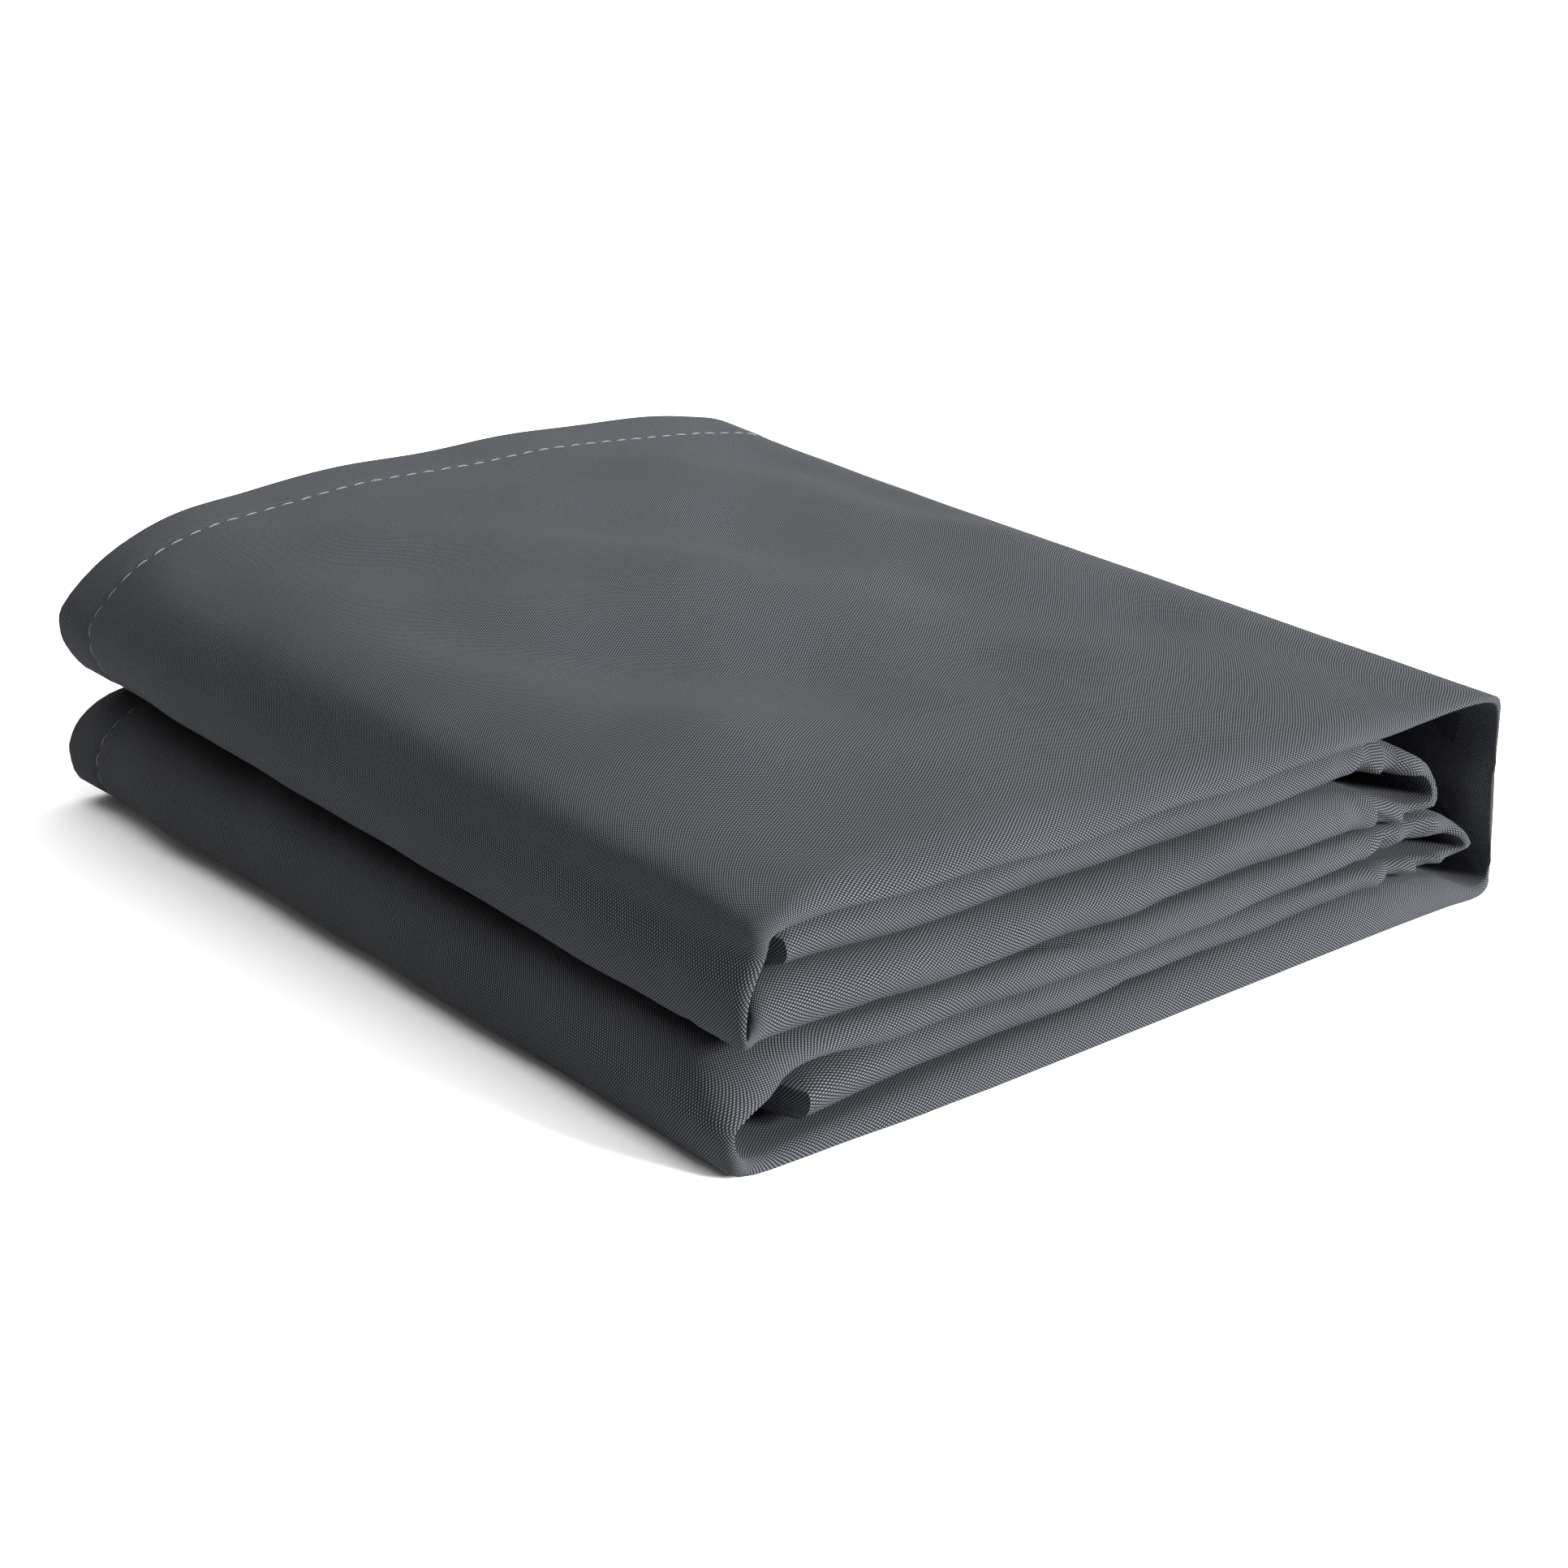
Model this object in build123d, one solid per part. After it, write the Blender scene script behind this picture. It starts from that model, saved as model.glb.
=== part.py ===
"""Grill cover, folded into its storage packet.

The cover is a rectangular sack: a front panel, a back panel, two side panels and a top panel
between them, with a turned hem sewn round the open bottom edge. Laid flat and folded twice
towards its hem it is one long multi-ply strip, with the open hem along one long edge and a
closed fold along the other. Each end of the strip is then rolled over twice, and the whole
is closed like a book, so the packet is an upper and a lower half joined by a spine.

Every panel runs through the whole strip. A panel is cut here at the two lines where the book
opens, so each one has an upper, a spine and a lower stretch.

Row frame, millimetres: +X from the rolled edges to the spine, +Y from the closed fold to the
hem, +Z up, origin at the middle of the packet's underside.
"""
from build123d import *
import os

# ---- overall sizes of the packet ----
packet_length = 253.0       # rolled edges to spine, X
strip_width = 305.0         # closed fold to hem, Y
fold_side_height = 56.0     # whole stack, at the closed fold
hem_side_height = 82.0      # whole stack, at the hem, where the open edges stand apart

# ---- the strip ----
turn_thickness = 6.0        # the strip where it is pulled tight, round a turn or up the spine
front_ply = 0.8             # front panel, the outermost ply
hem_ply = 0.5               # turned-in edge of a panel
top_ply = 1.0               # top panel, folded along the middle of the strip
side_ply = 0.9              # side panel, folded in at each end of the strip
ply_gap = 0.04              # between neighbouring plies
run_gap = 0.1               # between neighbouring runs of one half
half_gap = 0.5              # between the upper and lower halves
spine_gap = 0.3             # between a half and the spine

# ---- where the runs start and stop ----
swell_length = 12.0         # a run grows from the turn's thickness to its own over this length
spine_swell_length = 45.0   # and over this length beside the spine
upper_end_inset = 15.0      # rolled edge to the tucked-in end of the upper half
lower_end_inset = 21.0      # rolled edge to the tucked-in end of the lower half
upper_roll_inset = 25.0     # spine to the inner roll of the upper half
lower_roll_inset = 10.0     # spine to the inner roll of the lower half

# ---- hem and stitching ----
hem_width = 19.0
hem_step = 1.5              # the front hem ends this far short of the back hem
stitch_inset = 1.5          # stitch line to the hem's sewn edge
thread_width = 0.8
thread_depth = 0.3

# ---- worked out ----
half_turn = turn_thickness / 2
top_half_ply = top_ply / 2
back_inside = top_half_ply + ply_gap
front_hem_y = strip_width - hem_step
stitch_y = front_hem_y - hem_width + stitch_inset
spine_x = packet_length - half_turn     # middle plane of the spine
side_spare = 2 * ply_gap
reach = 2.0                 # how far a cutting tool runs past what it cuts


def stack_height(y):
    """Height of the whole packet at y, measured from the closed fold."""
    return fold_side_height + (hem_side_height - fold_side_height) * y / strip_width


def run_thickness(y):
    """Thickness of one run of the strip at y: there are six in the stack."""
    return (stack_height(y) - half_gap - 4 * run_gap) / 6


def half_run(y):
    return run_thickness(y) / 2


class Half:
    """The centreline of one half's strip: outer run, roll, return run, roll, tucked run."""

    def __init__(self, side, end_inset, roll_inset):
        self.side = side                    # +1 is the upper half, -1 the lower one
        self.end_inset = end_inset          # rolled edge to the tucked-in end
        self.roll_inset = roll_inset        # spine to the inner roll

    def level(self, y, up):
        """Height in the packet of a point that stands up from the packet's middle plane."""
        return stack_height(y) / 2 + self.side * up

    def edge(self, y, in_run, in_turn):
        """Edges at y along the strip, offset from its centreline.

        in_run and in_turn are the offsets in the straight runs and round the turns, positive
        towards the outside of the roll. The edges go from the spine to the tucked end.
        """
        thick = run_thickness(y)
        pitch = thick + run_gap
        back = half_gap / 2 + thick / 2     # return run, lowest of the three
        tucked = back + pitch
        outer = tucked + pitch
        roll = pitch + half_turn            # outer radius of the rolled edge
        roll_x = roll
        inner_x = packet_length - self.roll_inset - pitch / 2 - half_turn
        end_x = packet_length - turn_thickness - spine_gap
        end_up = outer + thick / 2 - half_turn

        def at(x, up):
            return (x, y, self.level(y, up))

        big, small = pitch + in_turn, pitch / 2 + in_turn
        middle = (tucked + back) / 2
        return [
            Line(at(end_x, end_up + in_turn), at(end_x - spine_swell_length, outer + in_run)),
            Line(at(end_x - spine_swell_length, outer + in_run),
                 at(roll_x + swell_length, outer + in_run)),
            Line(at(roll_x + swell_length, outer + in_run), at(roll_x, outer + in_turn)),
            ThreePointArc(at(roll_x, tucked + big), at(roll_x - big, tucked),
                          at(roll_x, tucked - big)),
            Line(at(roll_x, back - in_turn), at(roll_x + swell_length, back - in_run)),
            Line(at(roll_x + swell_length, back - in_run),
                 at(inner_x - swell_length, back - in_run)),
            Line(at(inner_x - swell_length, back - in_run), at(inner_x, back - in_turn)),
            ThreePointArc(at(inner_x, middle - small), at(inner_x + small, middle),
                          at(inner_x, middle + small)),
            Line(at(inner_x, tucked + in_turn), at(inner_x - swell_length, tucked + in_run)),
            Line(at(inner_x - swell_length, tucked + in_run), at(self.end_inset, tucked + in_run)),
        ]

    def section(self, y, outside, inside):
        """Face at y between two offsets, each a pair (in the runs, round the turns)."""
        far = self.edge(y, *outside)
        near = self.edge(y, *inside)
        return make_face([*far, Line(far[-1] @ 1, near[-1] @ 1), *near,
                          Line(near[0] @ 0, far[0] @ 0)])

    def ribbon(self, y_range, outside, inside):
        """Solid along the strip between two offsets. Each offset is a function of y."""
        return loft([self.section(y, outside(y), inside(y)) for y in y_range], ruled=True)

    def side_panel(self, spare=0.0):
        """The folded-in side panel, a flat sheet in the tucked run, with spare all round it."""
        faces = []
        for y in (3 * front_ply - spare, front_hem_y + spare):
            pitch = run_thickness(y) + run_gap
            tucked = half_gap / 2 + run_thickness(y) / 2 + pitch
            high = tucked - back_inside - side_spare + spare
            low = high - side_ply - 2 * spare
            x0 = self.end_inset + 2 * front_ply - spare
            x1 = packet_length - self.roll_inset - pitch - half_turn - swell_length + spare
            corners = [(x0, high), (x1, high), (x1, low), (x0, low)]
            faces.append(make_face(Polyline(*[(x, y, self.level(y, up)) for x, up in corners],
                                            close=True)))
        return loft(faces, ruled=True)


def spine_solid():
    """The whole spine. Its two ends are round about the lines where the book opens."""
    faces = []
    for y in (0, strip_width):
        low, high = half_turn, stack_height(y) - half_turn
        inner, middle, outer = spine_x - half_turn, spine_x, spine_x + half_turn
        faces.append(make_face([
            Line((outer, y, low), (outer, y, high)),
            ThreePointArc((outer, y, high), (middle, y, high + half_turn), (inner, y, high)),
            Line((inner, y, high), (inner, y, low)),
            ThreePointArc((inner, y, low), (middle, y, low - half_turn), (outer, y, low)),
        ]))
    return loft(faces, ruled=True)


def spine_slab(y_range, outside, inside):
    """Upright slab between two depths, measured from the spine's middle plane."""
    length = y_range[1] - y_range[0]
    thickness = outside - inside
    height = hem_side_height + fold_side_height + 2 * reach
    centre = (spine_x + (outside + inside) / 2, (y_range[0] + y_range[1]) / 2, height / 2 - reach)
    return Pos(*centre) * Box(thickness, length, height)


def whole(side):
    """Offset of the strip's own surface, on one side (+1 outside, -1 inside)."""
    return lambda y: (side * half_run(y), side * half_turn)


def below(side, depth):
    """Offset that lies a depth below the strip's surface."""
    return lambda y: (side * (half_run(y) - depth), side * (half_turn - depth))


def level_with(depth):
    """Offset that is the same in the runs and round the turns."""
    return lambda y: (depth, depth)


def make_half(side, end_inset, roll_inset):
    """All the plies of one half, as a dictionary of solids."""
    half = Half(side, end_inset, roll_inset)
    hem_y = (front_hem_y - hem_width, front_hem_y)
    hem_past = (hem_y[0] - ply_gap, strip_width + reach)
    back_skin = front_ply + ply_gap
    back_hem_top = back_inside + hem_ply

    skin = half.ribbon((0, front_hem_y), whole(1), whole(-1))
    skin -= half.ribbon((front_ply, strip_width + reach), below(1, front_ply), below(-1, front_ply))
    thread_y = (stitch_y, stitch_y + thread_width)
    skin -= half.ribbon(thread_y, below(1, -reach), below(1, thread_depth + ply_gap))
    thread = half.ribbon((thread_y[0] + ply_gap, thread_y[1] - ply_gap),
                         below(1, ply_gap), below(1, thread_depth))

    front_hem = half.ribbon(hem_y, below(1, back_skin), below(1, back_skin + hem_ply))
    back = half.ribbon((back_skin, strip_width), below(1, back_skin), below(-1, back_skin))
    back -= half.ribbon((2 * back_skin, strip_width + reach), level_with(back_inside), level_with(-back_inside))
    back -= half.ribbon(hem_past, below(1, front_ply / 2), below(1, back_skin + hem_ply + ply_gap))
    back -= half.ribbon(hem_past, level_with(back_hem_top + ply_gap), level_with(0))
    back_hem = half.ribbon((hem_y[0], strip_width), level_with(back_hem_top), level_with(back_inside))
    top = half.ribbon((2 * back_skin + ply_gap, front_hem_y), level_with(top_half_ply), level_with(-top_half_ply))
    back -= half.side_panel(spare=ply_gap)
    return {"front_panel": skin, "front_hem": front_hem, "hem_thread": thread,
            "back_panel": back, "back_hem": back_hem, "top_panel": top,
            "side_panel": half.side_panel()}


def make_spine():
    """All the plies of the spine, as a dictionary of solids."""
    spine = spine_solid()
    hem_y = (front_hem_y - hem_width, front_hem_y)
    hem_past = (hem_y[0] - ply_gap, strip_width + reach)
    back_skin = front_ply + ply_gap
    back_half = half_turn - back_skin
    back_hem_top = back_inside + hem_ply

    thread_y = (stitch_y, stitch_y + thread_width)
    skin = spine & spine_slab((0, front_hem_y), half_turn, -half_turn)
    skin -= spine_slab((front_ply, strip_width + reach), half_turn - front_ply, front_ply - half_turn)
    skin -= spine_slab(thread_y, half_turn + reach, half_turn - thread_depth - ply_gap)
    thread = spine_slab((thread_y[0] + ply_gap, thread_y[1] - ply_gap), half_turn - ply_gap,
                        half_turn - thread_depth)

    back = spine_slab((back_skin, strip_width), back_half, -back_half)
    back -= spine_slab((2 * back_skin, strip_width + reach), back_inside, -back_inside)
    back -= spine_slab(hem_past, half_turn, back_half - hem_ply - ply_gap)
    back -= spine_slab(hem_past, back_hem_top + ply_gap, 0)
    plies = {
        "front_hem": spine_slab(hem_y, back_half, back_half - hem_ply),
        "hem_thread": thread,
        "back_panel": back,
        "back_hem": spine_slab((hem_y[0], strip_width), back_hem_top, back_inside),
        "top_panel": spine_slab((2 * back_skin + ply_gap, front_hem_y), top_half_ply, -top_half_ply),
    }
    return {"front_panel": skin, **{name: ply & spine for name, ply in plies.items()}}


def row_place(solid):
    """Moves a solid from the packet's own corner to the row frame."""
    return Pos(-packet_length / 2, -strip_width / 2, 0) * solid


side_names = {"upper": "right_side_panel", "lower": "left_side_panel"}
stretches = {
    "upper": make_half(1, upper_end_inset, upper_roll_inset),
    "spine": make_spine(),
    "lower": make_half(-1, lower_end_inset, lower_roll_inset),
}

os.makedirs("parts", exist_ok=True)
for stretch, plies in stretches.items():
    for ply, solid in plies.items():
        node = side_names[stretch] if ply == "side_panel" else f"{ply}_{stretch}"
        export_step(row_place(solid), f"parts/{node}.step")
        print(node, round(solid.volume), "mm3,", len(solid.solids()), "solid")
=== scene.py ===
# %% [markdown]
# # A folded grill cover
# The object is one big sack of coated polyester cloth, folded into a packet. Everything that
# shows is the same thing: several plies of thin cloth that run in parallel, turn over at the
# rolled edges and come back. So the packet is made here from folded sheets, and not from blocks.
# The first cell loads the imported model. It holds the sizes, the bodies and the two hinges that
# let the packet open like a book, and every sheet below is fitted to it.

# %% Load the frame
import math

import bmesh
import bpy
import mathutils
import numpy as np
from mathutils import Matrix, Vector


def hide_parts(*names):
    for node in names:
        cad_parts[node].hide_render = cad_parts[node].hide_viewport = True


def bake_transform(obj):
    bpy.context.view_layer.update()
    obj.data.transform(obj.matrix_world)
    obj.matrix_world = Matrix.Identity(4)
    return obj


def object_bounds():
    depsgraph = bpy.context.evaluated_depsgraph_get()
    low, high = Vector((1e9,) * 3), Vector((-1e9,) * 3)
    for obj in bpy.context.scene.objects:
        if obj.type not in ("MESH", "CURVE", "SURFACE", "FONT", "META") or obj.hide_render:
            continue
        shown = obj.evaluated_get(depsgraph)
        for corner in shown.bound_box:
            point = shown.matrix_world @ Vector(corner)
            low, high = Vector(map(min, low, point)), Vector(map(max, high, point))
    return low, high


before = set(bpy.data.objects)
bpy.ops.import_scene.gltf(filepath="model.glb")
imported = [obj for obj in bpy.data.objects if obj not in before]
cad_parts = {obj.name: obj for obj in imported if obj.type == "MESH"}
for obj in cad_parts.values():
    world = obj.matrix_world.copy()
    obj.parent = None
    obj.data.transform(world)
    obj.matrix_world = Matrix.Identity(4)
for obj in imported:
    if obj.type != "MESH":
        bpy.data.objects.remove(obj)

CAD_LOW, CAD_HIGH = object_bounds()
MM = 0.001
LENGTH = (CAD_HIGH.x - CAD_LOW.x) / MM      # rolled edges to spine, along X
WIDTH = (CAD_HIGH.y - CAD_LOW.y) / MM       # closed fold to hem, along Y
HEIGHT = (CAD_HIGH.z - CAD_LOW.z) / MM      # at the hem
ROW_PLACE = np.array([-LENGTH / 2, -WIDTH / 2, 0])      # from the packet's corner to its middle
print("packet", round(LENGTH, 1), round(WIDTH, 1), round(HEIGHT, 1), "mm")

# %% [markdown]
# ## How the strip is folded
# Each half of the packet is one strip that is rolled over twice. Its cross-section is drawn as
# two lines, one for each face of the strip: the outer face, and the inner face that ends up
# inside the roll. Each row below is one point of both lines, and it is given twice, once at the
# closed fold and once at the hem, because the hem side is looser and stands higher.
# Units are millimetres: x from the rolled edges towards the spine, z up from the ground.

# %% The outline of both halves
UPPER_ROLL = [
    # place on the strip       outer x, z   inner x, z         outer x, z   inner x, z
    ("middle of the spine", (251.9, 27.0, 250.6, 27.0), (253.4, 38.0, 248.4, 38.0)),
    ("spine, at the dent", (251.2, 36.0, 249.8, 36.0), (252.2, 50.0, 247.2, 49.5)),
    ("spine, upper part", (252.0, 46.0, 250.6, 45.8), (252.4, 66.0, 246.8, 64.5)),
    ("spine corner", (251.6, 52.6, 249.8, 51.2), (250.3, 76.0, 244.8, 71.0)),
    ("top, past the corner", (245.6, 54.4, 244.2, 53.0), (240.0, 82.0, 238.0, 73.4)),
    ("top, near the spine", (222.0, 55.8, 222.0, 53.3), (221.0, 86.0, 220.0, 73.6)),
    ("top, right", (196.0, 56.6, 196.0, 51.6), (190.0, 88.4, 190.0, 71.0)),
    ("top, middle", (125.0, 57.2, 125.0, 50.4), (125.0, 88.0, 125.0, 69.6)),
    ("top, left", (55.0, 57.4, 55.0, 49.8), (62.0, 84.0, 62.0, 68.2)),
    ("shoulder of the roll", (20.0, 56.6, 22.0, 50.8), (32.0, 78.0, 36.0, 66.8)),
    ("roll, upper", (7.6, 53.2, 11.0, 51.0), (11.0, 68.4, 19.0, 62.0)),
    ("roll, nose above", (6.0, 46.6, 9.4, 46.8), (0.2, 58.0, 11.5, 56.0)),
    ("roll, at the pinch", (3.0, 41.0, 6.4, 41.4), (-0.6, 52.0, 10.0, 52.6)),
    ("roll, nose below", (1.8, 35.6, 5.0, 36.4), (1.0, 46.6, 11.0, 49.0)),
    ("roll, foot", (1.8, 29.8, 4.8, 30.2), (6.0, 39.6, 15.0, 47.2)),
    ("roll, slit", (5.0, 27.2, 6.8, 32.6), (12.0, 36.0, 21.0, 47.0)),
    ("roll, underside", (9.0, 26.6, 10.2, 38.0), (22.0, 33.4, 28.0, 47.8)),
    ("return run, left", (50.0, 26.4, 50.0, 38.6), (58.0, 33.0, 58.0, 50.4)),
    ("return run, middle", (120.0, 26.2, 120.0, 38.1), (120.0, 34.0, 120.0, 51.0)),
    ("return run, right", (184.0, 27.5, 184.0, 39.6), (182.0, 35.0, 182.0, 51.2)),
    ("inner roll, underside", (207.0, 27.6, 205.0, 35.8), (206.0, 36.6, 204.0, 51.0)),
    ("inner roll, lower nose", (220.0, 28.3, 218.6, 31.0), (220.0, 43.0, 212.0, 51.4)),
    ("inner roll, nose below", (228.0, 31.0, 226.0, 32.4), (225.0, 50.0, 215.0, 52.0)),
    ("inner roll, nose above", (227.4, 37.8, 225.4, 36.6), (224.0, 58.6, 214.6, 52.6)),
    ("inner roll, upper nose", (217.0, 45.4, 214.6, 39.4), (217.0, 65.4, 210.0, 53.2)),
    ("inner roll, top", (206.0, 50.2, 203.0, 41.4), (203.0, 69.8, 200.0, 53.4)),
    ("tucked run, right", (180.0, 51.0, 180.0, 41.2), (176.0, 70.2, 176.0, 52.6)),
    ("tucked run, middle", (110.0, 49.8, 110.0, 38.7), (110.0, 69.0, 110.0, 51.6)),
    ("tucked run, left", (42.0, 49.2, 42.0, 39.2), (46.0, 66.6, 46.0, 51.0)),
    ("tucked fold", (17.2, 49.0, 17.2, 40.6), (24.0, 64.0, 24.0, 52.0)),
    ("tucked end", (9.5, 48.4, 9.5, 41.4), (18.0, 61.0, 18.0, 53.0)),
]
LOWER_ROLL = [
    ("middle of the spine", (251.9, 27.0, 250.6, 27.0), (253.4, 38.0, 248.4, 38.0)),
    ("spine, lower part", (252.9, 17.0, 251.6, 17.0), (254.2, 22.0, 249.0, 22.0)),
    ("spine, above the corner", (253.8, 8.0, 252.4, 8.6), (254.4, 9.0, 248.8, 12.6)),
    ("spine corner", (253.8, 2.6, 252.0, 4.4), (250.6, 2.4, 246.0, 9.6)),
    ("floor, past the corner", (247.0, 0.5, 246.4, 3.0), (242.0, 0.6, 240.0, 8.4)),
    ("floor, near the spine", (232.0, 0.4, 232.0, 8.6), (222.0, 0.4, 222.0, 10.8)),
    ("floor, right", (205.0, 0.3, 205.0, 11.4), (190.0, 0.3, 190.0, 11.3)),
    ("floor, middle", (125.0, 0.3, 125.0, 9.0), (125.0, 0.3, 125.0, 11.2)),
    ("floor, left", (55.0, 0.3, 55.0, 6.4), (60.0, 0.3, 60.0, 11.2)),
    ("floor, at the roll", (20.0, 0.3, 22.0, 4.0), (28.0, 0.4, 31.0, 10.2)),
    ("roll, underside", (2.6, 0.6, 7.0, 3.6), (12.0, 1.2, 18.0, 8.6)),
    ("roll, nose below", (-1.0, 4.6, 2.2, 6.2), (0.8, 7.0, 8.6, 10.2)),
    ("roll, nose", (-2.0, 11.0, 1.6, 11.2), (-1.5, 15.0, 6.6, 15.0)),
    ("roll, at the pinch", (-1.2, 16.0, 5.4, 13.8), (-0.9, 19.0, 7.2, 17.4)),
    ("roll, nose above", (1.0, 21.2, 11.0, 16.0), (2.6, 24.6, 10.4, 19.6)),
    ("roll, top", (7.0, 25.4, 17.0, 20.0), (12.0, 30.2, 19.0, 21.2)),
    ("return run, left", (45.0, 26.0, 45.0, 18.6), (50.0, 32.4, 50.0, 21.8)),
    ("return run, middle", (110.0, 25.6, 110.0, 17.5), (110.0, 33.4, 110.0, 22.2)),
    ("return run, right", (185.0, 27.0, 185.0, 19.4), (185.0, 34.4, 185.0, 22.8)),
    ("inner roll, top", (213.0, 27.2, 211.0, 20.8), (210.0, 34.4, 208.0, 22.4)),
    ("inner roll, upper nose", (231.0, 26.4, 228.0, 19.8), (226.0, 32.0, 219.0, 20.8)),
    ("inner roll, nose above", (242.4, 19.0, 239.6, 18.0), (235.4, 25.0, 226.0, 19.0)),
    ("inner roll, nose below", (242.8, 14.6, 239.8, 15.4), (235.0, 17.0, 225.6, 17.2)),
    ("inner roll, lower nose", (233.0, 11.9, 230.0, 15.0), (226.0, 12.6, 220.0, 16.6)),
    ("inner roll, underside", (219.0, 11.5, 216.0, 16.4), (212.0, 11.6, 211.0, 17.2)),
    ("tucked run, right", (180.0, 11.3, 180.0, 18.4), (180.0, 11.5, 180.0, 21.2)),
    ("tucked run, middle", (110.0, 9.2, 110.0, 16.9), (110.0, 11.5, 110.0, 21.4)),
    ("tucked run, left", (45.0, 6.6, 45.0, 18.0), (46.0, 11.4, 46.0, 21.0)),
    ("tucked fold", (21.2, 5.8, 21.2, 15.8), (30.0, 11.6, 30.0, 20.0)),
    ("tucked end", (13.0, 5.8, 13.0, 14.4), (25.0, 12.0, 25.0, 19.2)),
]


def tangents(points, knots):
    """Slopes of a smooth curve through the points, weighted by the distance to each neighbour."""
    step = np.diff(knots)[:, None]
    chord = np.diff(points, axis=0) / step
    slope = np.empty_like(points)
    slope[1:-1] = (chord[1:] * step[:-1] + chord[:-1] * step[1:]) / (step[:-1] + step[1:])
    slope[0], slope[-1] = chord[0], chord[-1]
    return slope


class Roll:
    """One half of the strip: for any place along it and across it, a point in space."""

    def __init__(self, rows, spacing):
        self.names = [name for name, _, _ in rows]
        self.stations = [np.array([row[side] for row in rows], float) for side in (1, 2)]
        middle = (self.stations[0] + self.stations[1]) / 2
        spans = np.linalg.norm(np.diff(middle, axis=0), axis=1) / math.sqrt(2)
        self.knots = np.concatenate([[0], np.cumsum(np.sqrt(spans))])
        where = [0.0]
        for k, span in enumerate(spans):
            pieces = max(3, math.ceil(span / spacing))
            where += list(k + np.arange(1, pieces + 1) / pieces)
        self.where = np.array(where)
        self.slopes = [tangents(station, self.knots) for station in self.stations]
        along = np.linalg.norm(np.diff(self.lines(0.5)[:, :2], axis=0), axis=1)
        self.arc = np.concatenate([[0], np.cumsum(along)])

    def at(self, name):
        """How far along the strip a named row is, in samples."""
        return int(np.searchsorted(self.where, self.names.index(name)))

    def thickness(self, share):
        """Distance between the two faces all along the strip."""
        lines = self.lines(share)
        return np.linalg.norm(lines[:, :2] - lines[:, 2:], axis=1)

    def lines(self, share):
        """Outer x, z and inner x, z all along the strip, at a share of the way to the hem."""
        k = np.minimum(self.where.astype(int), len(self.names) - 2)
        step = np.diff(self.knots)[k][:, None]
        t = (self.where - k)[:, None]
        made = []
        for points, slope in zip(self.stations, self.slopes):
            a, b, ma, mb = points[k], points[k + 1], slope[k] * step, slope[k + 1] * step
            made.append((2 * t**3 - 3 * t**2 + 1) * a + (t**3 - 2 * t**2 + t) * ma
                        + (3 * t**2 - 2 * t**3) * b + (t**3 - t**2) * mb)
        return made[0] + (made[1] - made[0]) * share


SPACING = 4.0           # millimetres between samples along the strip
upper = Roll(UPPER_ROLL, SPACING)
lower = Roll(LOWER_ROLL, SPACING)
print("strip length", round(upper.arc[-1] + lower.arc[-1]), "mm")
print("samples along it:", len(upper.where), "above,", len(lower.where), "below")

# %% [markdown]
# ## From two lines to a sleeve
# The strip is hollow: a sleeve of cloth, closed along the fold and open along the hem. Across the
# strip, the cloth comes along the outer face from the hem, goes round the closed fold in a
# rounded nose, and returns along the inner face. A grid of points does that directly. One
# direction of the grid runs along the strip, and the other goes round the sleeve. A cloth
# simulation is the usual way to get slack, but here it would need the six runs held apart while
# it settles, and it could blur the crisp bands at the fold. So the slack is put in as soft waves,
# and the sharp creases as valleys.

# %% Slack, as soft waves
CLOTH = 0.6             # a coated polyester oxford cloth is 0.5 to 0.7 mm thick
HEM_WIDTH = 19.0        # turned-in edge
FRONT_HEM_Y = WIDTH - 1.5       # the front ply ends a little short of the back one


def smooth(value, low, high):
    """0 below low, 1 above high, and a soft step between."""
    t = np.clip((np.asarray(value, float) - low) / (high - low), 0, 1)
    return t * t * (3 - 2 * t)


def hump(value, centre, reach):
    """1 at the centre, falling softly to nothing at the reach on either side."""
    return np.exp(-((np.asarray(value, float) - centre) / reach) ** 2 * 2)


def waves(along, across, seed, sizes):
    """Uneven soft waves. sizes holds pairs of wave length and height, in millimetres."""
    random = np.random.default_rng(seed)
    total = np.zeros(np.broadcast(along, across).shape)
    for length, height in sizes:
        for _ in range(3):
            turn, phase = random.uniform(0, math.pi), random.uniform(0, 2 * math.pi)
            place = along * math.cos(turn) + across * math.sin(turn)
            total += height / 2 * np.sin(2 * math.pi * place / length + phase)
    return total


print("cloth", CLOTH, "mm thick, hem", HEM_WIDTH, "mm wide")


# %% Shares, and the seam's pull
FLARE = 0.06            # the share of the opening that comes only in the last stretch to the hem


def hem_share(y):
    """Share of the way from the fold's outline to the hem's. The last stretch flares out."""
    t = np.asarray(y, float) / WIDTH
    return (1 - FLARE) * t + FLARE * t**8


def spread(roll, first, last, soft=0.6):
    """1 on the stretch of strip between two named rows, 0 elsewhere, with soft ends."""
    a, b = roll.names.index(first), roll.names.index(last)
    return smooth(roll.where, a - soft, a) * (1 - smooth(roll.where, b, b + soft))


STITCH_Y = 287.0        # the seam that holds the hem down


def seam_pull(roll, y):
    """The seam draws the cloth in along its line, a little more at some stitches."""
    tight = 0.30 + 0.12 * np.sin(roll.arc / 7.3) * np.sin(roll.arc / 19.0)
    return -tight * hump(y, STITCH_Y, 2.4) + 0.25 * smooth(y, STITCH_Y, STITCH_Y + 5)


print("seam", round(WIDTH - STITCH_Y, 1), "mm from the widest edge")

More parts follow.
